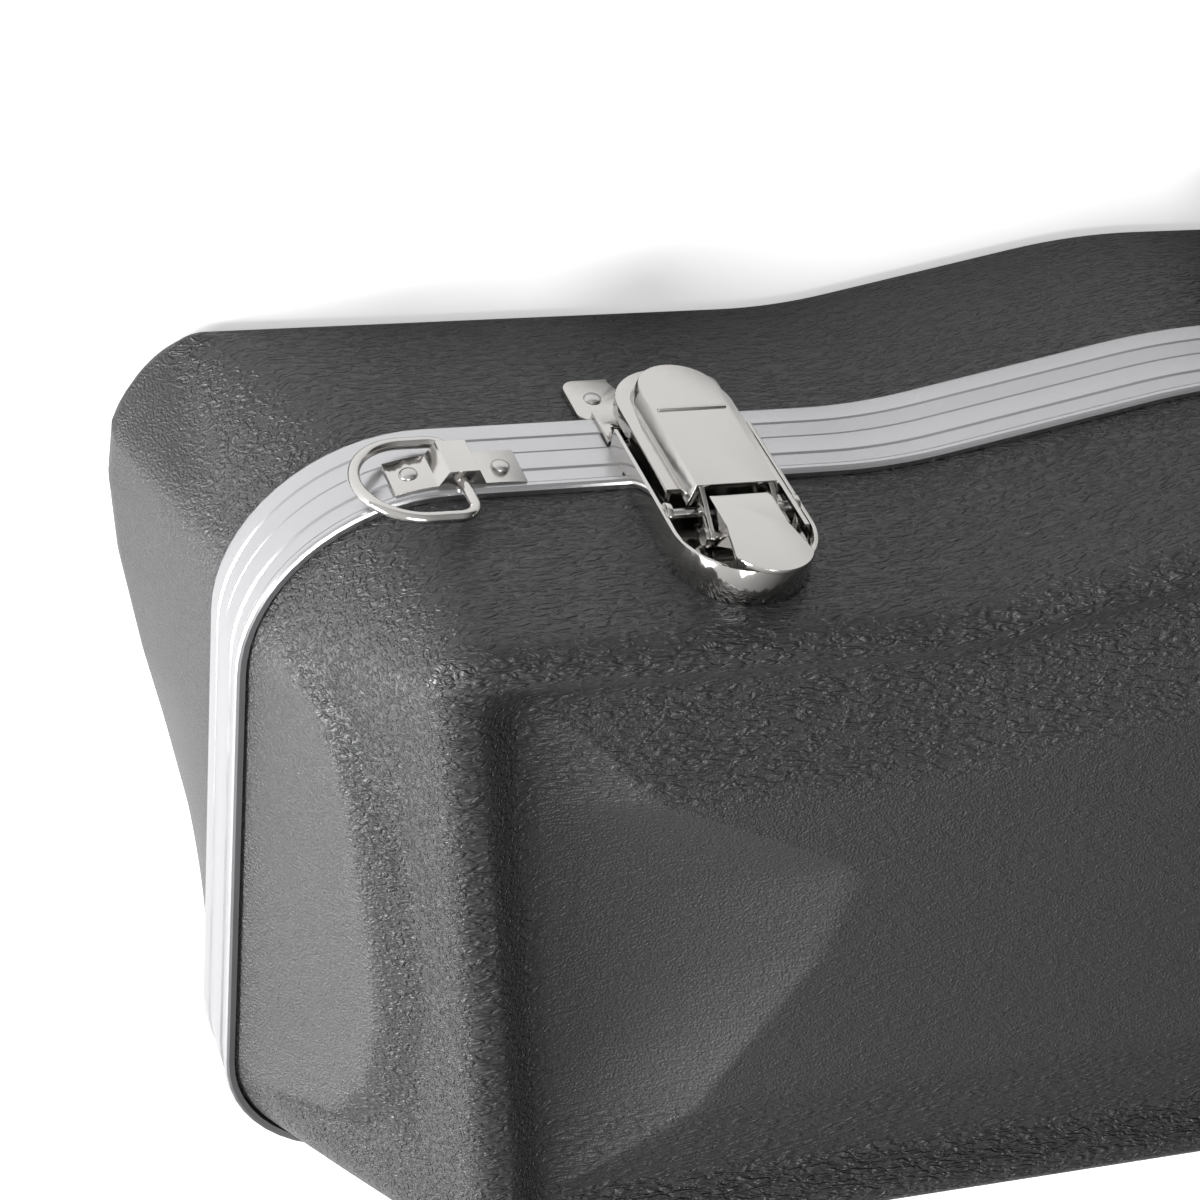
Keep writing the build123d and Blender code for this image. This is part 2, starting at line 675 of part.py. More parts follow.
def keeper(x):
    """Keeper plate over the base valance, with a step down to two riveted ears on the shell."""
    with BuildPart() as plate:
        with BuildSketch(face_plane(x, hinge_seat)):
            with Locations((0, -(keeper_start + keeper_step) / 2)):
                Rectangle(keeper_neck, keeper_step - keeper_start)
        extrude(amount=keeper_sheet)
        with BuildSketch(face_plane(x, -pan_seat)):
            with Locations((0, -(valance_height + keeper_step + keeper_sheet) / 2)):
                Rectangle(keeper_neck, keeper_step + keeper_sheet - valance_height)
        extrude(amount=pan_seat + hinge_seat + keeper_sheet)
        with BuildSketch(face_plane(x, -pan_seat)):
            with Locations((0, -(keeper_step + keeper_end) / 2)):
                RectangleRounded(keeper_width, keeper_end - keeper_step, 4)
            with Locations((0, -keeper_end)):
                Circle(9, mode=Mode.SUBTRACT)
        extrude(amount=pan_seat - keeper_shell_face)
        with BuildSketch(cross_plane(x)):
            with Locations((keeper_lip_sheet / 2 - keeper_lip_place, (hinge_seat + keeper_lip_top) / 2)):
                Rectangle(keeper_lip_sheet, keeper_lip_top - hinge_seat)
        extrude(amount=keeper_lip_width / 2, both=True)
        for hand in (-1, 1):
            add_rivet(face_plane(x, hinge_seat + keeper_sheet), hand * dimple_place[0],
                      -dimple_place[1], dimple_radius, dimple_crown)
        add(base_body, mode=Mode.SUBTRACT)
    return plate


latch_places = (narrow_face_x - latch_from_narrow_end, bell_face_x + latch_from_bell_end)
for number, place in enumerate(latch_places, 1):
    save(latch_pan(place), f"latch_pan_{number}")
    save(latch_pivot_pin(place), f"latch_pivot_pin_{number}")
    save(latch_lever(place), f"latch_lever_{number}")
    save(latch_link_pin(place), f"latch_link_pin_{number}")
    save(latch_hook(place), f"latch_hook_{number}")
    save(keeper(place), f"keeper_{number}")


# ---------------------------------------------------------------- strap rings
def strap_bracket(x):
    """A strip bent round the lid valance, with a raised tunnel for the bar of the ring."""
    low, high = seam_z + bracket_start, seam_z + bracket_start + bracket_height
    middle = bracket_start + bracket_height / 2
    with BuildPart() as bracket:
        add_ring(-hinge_seat - bracket_sheet, -hinge_seat, low, high)
        with BuildSketch(Plane.XY.offset(low)):
            with Locations((x, bell_side_y)):
                RectangleRounded(bracket_length, 90, 2)
        extrude(amount=bracket_height, mode=Mode.INTERSECT)
        with BuildSketch(Plane((x, corner_plane(x).origin.Y, low), x_dir=(1, 0, 0), z_dir=(0, 0, 1))):
            half, top = tunnel_width / 2, tunnel_top_width / 2
            Polygon((-half, -hinge_seat), (-top, -tunnel_height - hinge_seat),
                    (top, -tunnel_height - hinge_seat), (half, -hinge_seat), align=None)
        extrude(amount=bracket_height)
        with BuildSketch(Plane((x, corner_plane(x).origin.Y - bar_out, low), z_dir=(0, 0, 1))):
            Circle(ring_wire / 2 + running_clearance)
        extrude(amount=bracket_height, mode=Mode.SUBTRACT)
    return bracket


def strap_ring(x, hand):
    """A D-shaped wire ring; its straight bar turns in the tunnel. hand is +1 towards +X."""
    wire = ring_wire / 2
    half, reach, bend = ring_height / 2 - wire, ring_reach - ring_wire, ring_corner - wire
    height = bracket_start + bracket_height / 2 + ring_drop
    flat = Plane((x, corner_plane(x).origin.Y - bar_out, seam_z + height), x_dir=(hand, 0, 0),
                 z_dir=(0, -hand, 0))
    with BuildPart() as ring:
        with BuildLine(flat) as path:
            FilletPolyline((0, -half), (reach, -half), (reach, half), (0, half),
                           radius=[bend, half - 0.1, half - 0.1, bend], close=True)
        with BuildSketch(Plane(flat.origin, z_dir=(0, 0, 1))):
            Circle(wire)
        sweep(path=path.wire())
    return ring


ring_places = ((narrow_face_x - ring_from_narrow_end, 1), (bell_face_x + ring_from_bell_end, -1))
for number, (place, hand) in enumerate(ring_places, 1):
    save(strap_bracket(place), f"strap_bracket_{number}")
    save(strap_ring(place, hand), f"strap_ring_{number}")


# ---------------------------------------------------------------- handle
handle_x = narrow_face_x - handle_from_narrow_end
handle_y = bell_side_y - handle_out
handle_z = seam_z - handle_drop
hang = Plane((handle_x, handle_y, handle_z), x_dir=(1, 0, 0), z_dir=(0, -1, 0))

with BuildPart() as handle_bail:
    half = handle_length / 2
    with BuildLine(hang) as bail_path:
        FilletPolyline((-half, 0), (-half, -bail_reach), (half, -bail_reach), (half, 0),
                       radius=bail_bend)
    with BuildSketch(Plane((handle_x - half, handle_y, handle_z), z_dir=(0, 0, -1))):
        Circle(bail_radius)
    sweep(path=bail_path.wire())
    for hand in (-1, 1):
        with BuildSketch(Plane((handle_x + hand * half, handle_y, handle_z), z_dir=(1, 0, 0))):
            Circle(boss_radius)
        extrude(amount=boss_length / 2, both=True)
    with BuildSketch(Plane((handle_x, handle_y, handle_z), z_dir=(1, 0, 0))):
        Circle(handle_pin_radius + running_clearance)
    extrude(amount=handle_length, both=True, mode=Mode.SUBTRACT)
save(handle_bail, "handle_bail")

with BuildPart() as handle_grip:
    half = grip_length / 2
    middle = Plane((handle_x, handle_y, handle_z - bail_reach), x_dir=(1, 0, 0), z_dir=(0, -1, 0))
    steps = grip_waves * 2
    crests = [(-half + 4 + i * (grip_length - 8) / steps, grip_radius - grip_wave * (i % 2))
              for i in range(steps + 1)]
    with BuildSketch(middle):
        with BuildLine():
            Polyline((-half, grip_radius - 3), (-half, 0), (half, 0), (half, grip_radius - 3))
            Spline((half, grip_radius - 3), *reversed(crests), (-half, grip_radius - 3))
        make_face()
    revolve(axis=Axis(middle.origin, (1, 0, 0)))
    with BuildSketch(Plane(middle.origin, z_dir=(1, 0, 0))):
        Circle(bail_radius)
    extrude(amount=grip_length, both=True, mode=Mode.SUBTRACT)
save(handle_grip, "handle_grip")

with BuildPart() as handle_mounts:
    for hand in (-1, 1):
        x = handle_x + hand * handle_length / 2
        with BuildSketch(face_plane(x, hinge_seat)):
            with Locations((0, -handle_drop)):
                RectangleRounded(mount_width, mount_height, 3)
        extrude(amount=mount_sheet)
        for side in (-1, 1):
            shift = side * (boss_length / 2 + knuckle_gap + ear_sheet / 2)
            with BuildSketch(cross_plane(x, shift)):
                with Locations((-handle_drop, handle_out)):
                    Circle(ear_radius)
                with Locations((-handle_drop, (hinge_seat + handle_out) / 2)):
                    Rectangle(ear_radius * 2, handle_out - hinge_seat)
            extrude(amount=ear_sheet / 2, both=True)
    with BuildSketch(Plane((handle_x, handle_y, handle_z), z_dir=(1, 0, 0))):
        Circle(handle_pin_radius)
    extrude(amount=handle_length, both=True, mode=Mode.SUBTRACT)
save(handle_mounts, "handle_mounts")

with BuildPart() as handle_pins:
    reach = boss_length / 2 + knuckle_gap + ear_sheet
    for hand in (-1, 1):
        x = handle_x + hand * handle_length / 2
        with BuildSketch(Plane((x, handle_y, handle_z), z_dir=(1, 0, 0))):
            Circle(handle_pin_radius)
        extrude(amount=reach, both=True)
        for side in (-1, 1):
            head = Plane((x + side * reach, handle_y, handle_z), x_dir=(0, 0, 1), z_dir=(side, 0, 0))
            add_rivet(head, 0, 0, handle_pin_head, rivet_crown)
save(handle_pins, "handle_pins")


# ---------------------------------------------------------------- feet
def feet(side, body):
    """Two round rubber feet on the hinge side of one half, shaped to its wall."""
    with BuildPart() as pair:
        for hand in (-1, 1):
            height = seam_z + side * (valance_height + foot_place)
            base = Plane((hand * foot_spread, hinge_side_y - 14, height), z_dir=(0, 1, 0))
            with BuildSketch(base):
                Circle(foot_radius)
            extrude(amount=14 + foot_proud)
        tips = pair.faces().filter_by(Axis.Y).group_by(Axis.Y)[-1]
        fillet(tips.edges(), radius=2.5)
        add(body, mode=Mode.SUBTRACT)
    return pair


save(feet(-1, base_body), "base_feet")
save(feet(1, lid_body), "lid_feet")


# ---------------------------------------------------------------- inserts
def add_trumpet(mode):
    """The hollow for the flared bell and its tube, round a line along X at the seam."""
    line = Plane((bell_cup_x, trumpet_y, seam_z), x_dir=(1, 0, 0), z_dir=(0, -1, 0))
    with BuildSketch(line) as profile:
        with BuildLine():
            Spline(*bell_profile[:-1])
            Polyline(bell_profile[-2], bell_profile[-1], (bell_profile[-1][0], 0), (0, 0),
                     bell_profile[0])
        make_face()
    revolve(profile.sketch, axis=Axis(line.origin, (1, 0, 0)), mode=mode)


top_z = seam_z - insert_gap
with BuildPart() as base_insert:
    add_form(-1, base_drafts, insert_clearance, insert_depth, insert_gap)
    add_trumpet(Mode.SUBTRACT)
    for (length, width, depth), place in ((trumpet_pocket, trumpet_pocket_place),
                                          (valve_pocket, valve_pocket_place),
                                          (mouthpipe_pocket, mouthpipe_place),
                                          (accessory_pocket, accessory_place)):
        with BuildSketch(Plane.XY.offset(top_z)):
            with Locations(place):
                RectangleRounded(length, width, pocket_corner)
        extrude(amount=-depth, mode=Mode.SUBTRACT)
    with BuildSketch(Plane.XY.offset(top_z)):
        with Locations(*socket_places):
            Circle(socket_radius)
    extrude(amount=-socket_depth, mode=Mode.SUBTRACT)
save(base_insert, "base_insert")

with BuildPart() as lid_insert:
    add_form(1, lid_drafts, insert_clearance, insert_depth, insert_gap)
    add_trumpet(Mode.SUBTRACT)
    with BuildSketch(Plane.XY.offset(seam_z + insert_gap)):
        with Locations(valve_pocket_place):
            RectangleRounded(valve_pocket[0], valve_pocket[1], pocket_corner)
    extrude(amount=valve_pocket[2], mode=Mode.SUBTRACT)

# The lid's lining is three foam blocks, cut across the case.
for name, start, end in lid_blocks:
    with BuildPart() as block:
        add(lid_insert.part)
        with Locations(((start + end) / 2, 0, seam_z + shell_depth / 2)):
            Box(end - start, case_length, case_length, mode=Mode.INTERSECT)
    save(block, name)


# ---------------------------------------------------------------- rivets
leaf_out = hinge_seat + leaf_thickness
leaf_middle = leaf_start + leaf_height / 2 + 1.6


def hinge_rivets(side):
    """Four rivet heads on each leaf of one half."""
    for place in hinge_places:
        for shift in (-17.5, 17.5):
            plane = Plane((place + shift, hinge_side_y + leaf_out, seam_z + side * leaf_middle),
                          x_dir=(-1, 0, 0), z_dir=(0, 1, 0))
            add_rivet(plane, 0, 0)


with BuildPart() as base_rivets:
    hinge_rivets(-1)
    for place in latch_places:
        for hand in (-1, 1):
            add_rivet(face_plane(place, -keeper_shell_face), hand * keeper_rivet_spread,
                      -keeper_rivet_place)
    for hand in (-1, 1):
        x = handle_x + hand * handle_length / 2
        for side in (-1, 1):
            add_rivet(face_plane(x, hinge_seat + mount_sheet), side * 10.8, -handle_drop, 1.9, 1.0)
save(base_rivets, "base_rivets")

with BuildPart() as lid_rivets:
    hinge_rivets(1)
    for place in latch_places:
        for u, v in pan_rivets:
            add_rivet(face_plane(place, pan_floor), u, v)
    for place, hand in ring_places:
        for side in (-1, 1):
            add_rivet(corner_plane(place + side * bracket_rivet_spread, hinge_seat + bracket_sheet),
                      0, bracket_start + bracket_height / 2, 2.2, 1.2)
save(lid_rivets, "lid_rivets")
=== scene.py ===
# %% [markdown]
# # A moulded trumpet case
# The case lies flat with its lid shut. Its narrow end, one latch and one strap ring face the
# camera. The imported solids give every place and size. This script gives them their finishes, and
# makes again the pieces whose look needs more than a solid: the moulded shells, the metal band,
# the plated latches, the rivets and the plush lining.

# %% Load the solids
import json

import bmesh
import bpy
import numpy as np
from mathutils import Matrix, Vector


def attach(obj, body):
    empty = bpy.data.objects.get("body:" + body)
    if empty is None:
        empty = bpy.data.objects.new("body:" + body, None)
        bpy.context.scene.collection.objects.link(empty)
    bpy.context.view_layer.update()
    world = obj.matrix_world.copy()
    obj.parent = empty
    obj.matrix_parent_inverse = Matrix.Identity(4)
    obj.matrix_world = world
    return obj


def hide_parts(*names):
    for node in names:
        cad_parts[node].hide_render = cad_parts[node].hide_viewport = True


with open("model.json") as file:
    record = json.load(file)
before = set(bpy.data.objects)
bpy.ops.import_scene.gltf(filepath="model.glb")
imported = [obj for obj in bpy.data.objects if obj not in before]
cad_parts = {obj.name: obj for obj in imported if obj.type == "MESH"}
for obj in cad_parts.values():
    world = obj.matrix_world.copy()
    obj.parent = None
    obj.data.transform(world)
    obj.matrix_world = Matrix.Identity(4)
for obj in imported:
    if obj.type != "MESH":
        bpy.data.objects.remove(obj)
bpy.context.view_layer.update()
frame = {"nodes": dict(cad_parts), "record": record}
nodes = frame["nodes"]
slots = {part["node"]: part["material_slot"] for part in frame["record"]["subparts"]}
body_of = {name: body for body, names in frame["record"]["behaviour"]["bodies"].items()
           for name in names}

# %% [markdown]
# ## Finishes
# One function turns a hex colour, as seen on screen, into linear light. One adds a shader node, and
# one starts a material. Patterns read Object coordinates, which are metres here, so a texture's
# scale is one over the size of its grain in metres.


# %% Colour and node helpers
def rgb(code):
    """Linear RGBA of an sRGB hex code."""
    parts = [int(code[i:i + 2], 16) / 255 for i in (0, 2, 4)]
    return [v / 12.92 if v <= 0.04045 else ((v + 0.055) / 1.055) ** 2.4 for v in parts] + [1.0]


def node(tree, kind, inputs=(), **settings):
    """Add a node, set its properties, and set or link its inputs."""
    made = tree.nodes.new(kind)
    for name, value in settings.items():
        setattr(made, name, value)
    for name, value in dict(inputs).items():
        if isinstance(value, bpy.types.NodeSocket):
            tree.links.new(value, made.inputs[name])
        else:
            made.inputs[name].default_value = value
    return made


def material(name, **sockets):
    """A new Principled material: its tree, its shader and its Object coordinates."""
    made = bpy.data.materials.new(name)
    made.use_nodes = True
    tree = made.node_tree
    shader = tree.nodes["Principled BSDF"]
    for key, value in sockets.items():
        shader.inputs[key.replace("_", " ")].default_value = value
    return made, tree, shader, node(tree, "ShaderNodeTexCoord").outputs["Object"]


print("middle grey in linear light:", round(rgb("808080")[0], 3))

# %% [markdown]
# ### Grained ABS
# The shells are vacuum-formed from a sheet of ABS with a leather grain rolled into it. Where the
# sheet is stretched over a corner, the grain stays as coarse wormy wrinkles of 1 to 2 mm, and on
# the flat raised panels the mould irons it down to a fine sandy grain. The contour lines of a
# twisted noise give the wrinkles, a second small noise gives the sand, and the attribute "sand",
# painted when the shell is built, says which of the two a place has.

# %% Grained ABS
wrinkle_size = 0.0019               # metres between two wrinkles
wrinkle_stretch = (0.33, 1.0, 1.2)  # so they run three times longer along the case
crease_width = 0.21                 # how much of the noise's range one crease fills
sand_size = 0.0007                  # a little coarser than the real 0.3 mm, so that it shows
grain_height = 0.0007               # metres from the bottom of a crease to the top
gloss_patches = 14.0                # to a metre: patches of gloss about 70 mm across
abs_grain, tree, shader, place = material("grained ABS", Base_Color=rgb("373738"), Roughness=0.36)
stretch = node(tree, "ShaderNodeMapping", {"Vector": place, "Scale": wrinkle_stretch})
worm = node(tree, "ShaderNodeTexNoise", {"Vector": stretch.outputs[0], "Scale": 1 / wrinkle_size,
                                         "Detail": 2.5, "Roughness": 0.5, "Distortion": 0.45})
middle = node(tree, "ShaderNodeMath", {0: worm.outputs[0], 1: 0.5}, operation="SUBTRACT")
ridge = node(tree, "ShaderNodeMath", {0: middle.outputs[0]}, operation="ABSOLUTE")
crease = node(tree, "ShaderNodeMapRange", {"Value": ridge.outputs[0], "From Max": crease_width},
              interpolation_type="SMOOTHSTEP")
sand = node(tree, "ShaderNodeTexNoise", {"Vector": place, "Scale": 1 / sand_size, "Detail": 2.0})
share = node(tree, "ShaderNodeAttribute", attribute_name="sand")
height = node(tree, "ShaderNodeMix", {0: share.outputs["Fac"], 2: crease.outputs[0],
                                      3: sand.outputs[0]})
bump = node(tree, "ShaderNodeBump", {"Strength": 1.0, "Distance": grain_height,
                                     "Height": height.outputs[0]})
tree.links.new(bump.outputs["Normal"], shader.inputs["Normal"])
blotch = node(tree, "ShaderNodeTexNoise", {"Vector": place, "Scale": gloss_patches,
                                           "Detail": 2.0})
gloss = node(tree, "ShaderNodeMapRange", {"Value": blotch.outputs[0], "To Min": 0.32,
                                          "To Max": 0.44})
tree.links.new(gloss.outputs[0], shader.inputs["Roughness"])
print("grain:", wrinkle_size * 1000, "mm wrinkles,", sand_size * 1000, "mm sand")

# %% [markdown]
# ### Metals
# The band is drawn aluminium: the die leaves faint lines along it, so its bump changes only with
# height. The latches and rings are pressed steel with bright nickel plate, almost a mirror, with
# the faint ripple that a pressed sheet keeps. Pins and rivets are plainer steel.

# %% Drawn aluminium
die_lines = 0.0006         # metres apart: the real ones are finer and wouldn't show
haze_patches = 60.0        # to a metre: patches of haze about 17 mm across
aluminium, tree, shader, place = material("drawn aluminium", Base_Color=rgb("B6B6B8"),
                                          Metallic=1.0, Roughness=0.3)
axes = node(tree, "ShaderNodeSeparateXYZ", {0: place})
lines = node(tree, "ShaderNodeTexNoise", {"W": axes.outputs["Z"], "Scale": 1 / die_lines,
                                          "Detail": 2.0}, noise_dimensions="1D")
bump = node(tree, "ShaderNodeBump", {"Strength": 0.35, "Distance": 0.00004,
                                     "Height": lines.outputs[0]})
tree.links.new(bump.outputs["Normal"], shader.inputs["Normal"])
haze = node(tree, "ShaderNodeTexNoise", {"Vector": place, "Scale": haze_patches,
                                         "Detail": 3.0})
soft = node(tree, "ShaderNodeMapRange", {"Value": haze.outputs[0], "To Min": 0.24, "To Max": 0.36})
tree.links.new(soft.outputs[0], shader.inputs["Roughness"])
print(aluminium.name, "with lines", die_lines * 1000, "mm apart")

# %% Nickel plate and steel
ripple_size = 0.006        # metres: the waves that a pressed sheet keeps under its plate
scuff_size = 0.0011        # metres: turning marks, drawn coarse enough to show
nickel, tree, shader, place = material("bright nickel plate", Base_Color=rgb("BBB9B6"),
                                       Metallic=1.0, Roughness=0.1)
ripple = node(tree, "ShaderNodeTexNoise", {"Vector": place, "Scale": 1 / ripple_size,
                                           "Detail": 1.0})
bump = node(tree, "ShaderNodeBump", {"Strength": 0.25, "Distance": 0.00025,
                                     "Height": ripple.outputs[0]})
tree.links.new(bump.outputs["Normal"], shader.inputs["Normal"])
film = node(tree, "ShaderNodeMapRange", {"Value": ripple.outputs[0], "To Min": 0.07,
                                         "To Max": 0.16})
tree.links.new(film.outputs[0], shader.inputs["Roughness"])

steel, tree, shader, place = material("turned steel", Base_Color=rgb("B5B4B2"), Metallic=1.0,
                                      Roughness=0.26)
scuff = node(tree, "ShaderNodeTexNoise", {"Vector": place, "Scale": 1 / scuff_size,
                                          "Detail": 3.0})
bump = node(tree, "ShaderNodeBump", {"Strength": 0.3, "Distance": 0.00006,
                                     "Height": scuff.outputs[0]})
tree.links.new(bump.outputs["Normal"], shader.inputs["Normal"])
print(nickel.name, "and", steel.name)

# %% [markdown]
# ### Lining, handle and feet
# The lining is a short plush: a velvety sheen at grazing angles over a dark grey pile that lies in
# small tufts. The handle is black nylon with a softer grip, and the feet are matt rubber.

# %% Lining
tuft_size = 0.0012         # metres across one tuft of the pile
lay_patches = 22.0         # to a metre: the pile leans in patches about 45 mm across
plush, tree, shader, place = material("short plush", Base_Color=rgb("2E2F33"), Roughness=0.95,
                                      Sheen_Weight=0.6, Sheen_Roughness=0.45)
tufts = node(tree, "ShaderNodeTexNoise", {"Vector": place, "Scale": 1 / tuft_size, "Detail": 4.0,
                                          "Roughness": 0.7})
lay = node(tree, "ShaderNodeTexNoise", {"Vector": place, "Scale": lay_patches, "Detail": 2.0})
pile = node(tree, "ShaderNodeMath", {0: tufts.outputs[0], 1: lay.outputs[0]}, operation="ADD")
bump = node(tree, "ShaderNodeBump", {"Strength": 0.9, "Distance": 0.0006,
                                     "Height": tufts.outputs[0]})
tree.links.new(bump.outputs["Normal"], shader.inputs["Normal"])
shade = node(tree, "ShaderNodeValToRGB", {0: pile.outputs[0]})
shade.color_ramp.elements[0].position, shade.color_ramp.elements[0].color = 0.75, rgb("26272A")
shade.color_ramp.elements[1].position, shade.color_ramp.elements[1].color = 1.25, rgb("3A3B40")
tree.links.new(shade.outputs["Color"], shader.inputs["Base Color"])
print(plush.name, "with tufts of", tuft_size * 1000, "mm")

# %% Handle and feet, and every solid's finish
moulded = {}
for name, code, rough, grain in (("black nylon", "222223", 0.42, 0.0006),
                                 ("soft grip", "262627", 0.62, 0.0009),
                                 ("matt rubber", "2A2A2A", 0.75, 0.0012)):
    moulded[name], tree, shader, place = material(name, Base_Color=rgb(code), Roughness=rough)
    speck = node(tree, "ShaderNodeTexNoise", {"Vector": place, "Scale": 1 / grain, "Detail": 2.0})
    bump = node(tree, "ShaderNodeBump", {"Strength": 0.5, "Distance": 0.0001,
                                         "Height": speck.outputs[0]})
    tree.links.new(bump.outputs["Normal"], shader.inputs["Normal"])

finishes = {"moulded_shell": abs_grain, "aluminium_band": aluminium, "plush_foam": plush,
            "plated_steel": nickel, "steel_pins": steel, "rivets": steel,
            "handle_plastic": moulded["black nylon"], "soft_grip": moulded["soft grip"],
            "rubber_feet": moulded["matt rubber"]}
for name, thing in nodes.items():
    thing.data.materials.clear()
    thing.data.materials.append(finishes[slots[name]])
print("finishes:", len(set(finishes.values())))


# %% [markdown]
# ## Placing a finished piece
# Each new piece stands for a solid, rides on that solid's body and keeps its material slot.


# %% Stand a piece in for a solid
def stand_in(mesh, name, *solids):
    """An object from a mesh, in place of one or more solids of the same body."""
    piece = bpy.data.objects.new(name, mesh)
    bpy.context.scene.collection.objects.link(piece)
    mesh.materials.clear()
    mesh.materials.append(finishes[slots[solids[0]]])
    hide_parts(*solids)
    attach(piece, body_of[solids[0]])
    return piece


print("bodies:", sorted(set(body_of.values())))

# %% [markdown]
# ## The moulded shells
# Each half is one formed sheet. Its outline is a polygon with rounded corners, and the same
# outline, moved in side by side, gives every level: the collar inside the metal band, the leaning
# wall, the soft roll at the rim and the groove inside it. A mesh of stacked loops follows such a
# rule well, because each loop has the same number of points and only its insets change. Sizes are
# in millimetres until the mesh is made.

# %% The outline
corners = np.array([(293.14, -103.5), (273.14, 136.5), (-286.27, 136.5), (-294.27, -124.5),
                    (21.62, -124.5), (114.8, -103.5)])
band_radii = np.array([50.0, 46, 56, 60, 190, 145])
rim_radii = np.array([12.0, 14, 16, 18, 190, 145])
arc_steps = (16, 12, 12, 12, 8, 8)          # points round each corner
side_steps = (72, 90, 60, 56, 18, 50)       # points along each side
seam_z = 75.0                               # height of the seam over the floor
knee = 13.5                                 # above the seam, where the wall begins to lean
depth = 75.0                                # above the seam, the crest of the rim
collar = 1.65                               # the shell's face inside the band


def cross(a, b, c, d):
    """Where the line a-b meets the line c-d."""
    n = np.array([-(d - c)[1], (d - c)[0]])
    return a + (b - a) * (n @ (c - a)) / (n @ (b - a))


def moved_in(insets):
    """The outline's corners with each side moved in; an inset is (start, end)."""
    ends = np.roll(corners, -1, axis=0)
    run = ends - corners
    normal = np.stack([-run[:, 1], run[:, 0]], 1) / np.linalg.norm(run, axis=1)[:, None]
    starts = corners + normal * insets[:, :1]
    ends = ends + normal * insets[:, 1:]
    return np.array([cross(starts[i - 1], ends[i - 1], starts[i], ends[i]) for i in range(6)])


def outline(insets, radii):
    """Points round the outline, always the same number in the same order."""
    points = moved_in(insets)
    entries, exits, arcs = [], [], []
    for i, corner in enumerate(points):
        back = points[i - 1] - corner
        ahead = points[(i + 1) % 6] - corner
        back, ahead = back / np.linalg.norm(back), ahead / np.linalg.norm(ahead)
        half = np.arccos(np.clip(back @ ahead, -1, 1)) / 2
        reach = radii[i] / np.tan(half)
        start, end = corner + back * reach, corner + ahead * reach
        middle = corner + (back + ahead) / np.linalg.norm(back + ahead) * radii[i] / np.sin(half)
        a, b = start - middle, end - middle
        turn = np.arctan2(a[0] * b[1] - a[1] * b[0], a @ b)
        angles = turn * np.arange(arc_steps[i] + 1) / arc_steps[i]
        c, s = np.cos(angles), np.sin(angles)
        arcs.append(middle + np.stack([a[0] * c - a[1] * s, a[0] * s + a[1] * c], 1))
        entries.append(start)
        exits.append(end)
    loop = []
    for i in range(6):
        ahead = entries[(i + 1) % 6]
        share = np.arange(1, side_steps[i])[:, None] / side_steps[i]
        loop += [arcs[i], exits[i] + (ahead - exits[i]) * share]
    return np.concatenate(loop)


print("points in a loop:", len(outline(np.full((6, 2), collar), band_radii)))

# %% [markdown]
# The wall leans in by a draft that differs from side to side, so each level knows how far up the
# wall it is. Above the wall comes a roll of 8 mm, then the crest, then a soft slope down into the
# groove, each given as distance in from the wall's top and depth below the crest.

# %% Levels of the wall and rim
roll = 8.0                  # radius of the roll between wall and crest
tightest = 7.0              # no corner gets a smaller radius
crest_slope = [(8.8, 0.02), (10.0, 0.3), (11.2, 0.95), (12.6, 2.0), (14.2, 3.4), (15.8, 4.9),
               (17.3, 6.2), (18.7, 7.25), (20.0, 8.0), (21.2, 8.4)]


def levels(drafts):
    """(insets, radii, height above the seam) of every loop below the panel."""
    made = []
    drafts = np.array(drafts)
    lean = np.arctan(drafts / (depth - knee))
    for height in (5.0, 12.0, knee):
        made.append((np.full((6, 2), collar), 0.0, 0.0, height))
    for height in np.linspace(knee, depth - roll, 30)[1:]:
        share = (height - knee) / (depth - knee)
        made.append((collar + drafts * share, share, 0.0, height))
    top = roll / np.cos(lean) - roll * np.tan(lean)
    for angle in np.linspace(0, np.pi / 2, 9)[1:]:
        below = roll * (1 - np.sin(angle))
        inward = top - np.sqrt(roll ** 2 - (roll - below) ** 2)
        blend = np.where(below < roll * (1 - np.sin(lean)), inward, -below * np.tan(lean))
        made.append((collar + drafts + blend, 1.0, max(inward.max(), 0.0), depth - below))
    for inward, below in crest_slope:
        made.append((collar + drafts + inward, 1.0, inward, depth - below))
    loops = []
    for insets, share, inward, height in made:
        radii = (band_radii - collar) * (1 - share) + rim_radii * share
        radii[:4] = np.maximum(radii[:4] - 0.5 * inward, tightest)
        radii[4:] = (band_radii[4] - insets[4, 0], band_radii[5] + insets[5, 0])
        loops.append(np.column_stack([outline(insets, radii), np.full(len_loop, height)]))
    return loops


len_loop = sum(arc_steps) + sum(side_steps)
print("rim:", roll, "mm roll and a slope of", len(crest_slope), "loops")

# %% [markdown]
# Inside the groove stands a hipped panel: flat facets rise from the groove to a level middle, and
# at the narrow end a hollow scoop runs into it with a crisp edge. Its depth at a point is the
# deepest of all facets there, so the hips draw themselves where two facets cross.


# %% Depth of the hipped panel
groove_inset = 20.0         # from the wall's top in to the groove's floor
level, groove = 0.9, 9.2    # depth of the panel's middle and of the groove under the crest
facet = 38.0                # width of a sloping facet


def smooth_max(a, b, k):
    """The larger of two depths, with the edge between them rounded over k."""
    return np.maximum(a, b) + np.maximum(k - np.abs(a - b), 0) ** 2 / (4 * k)


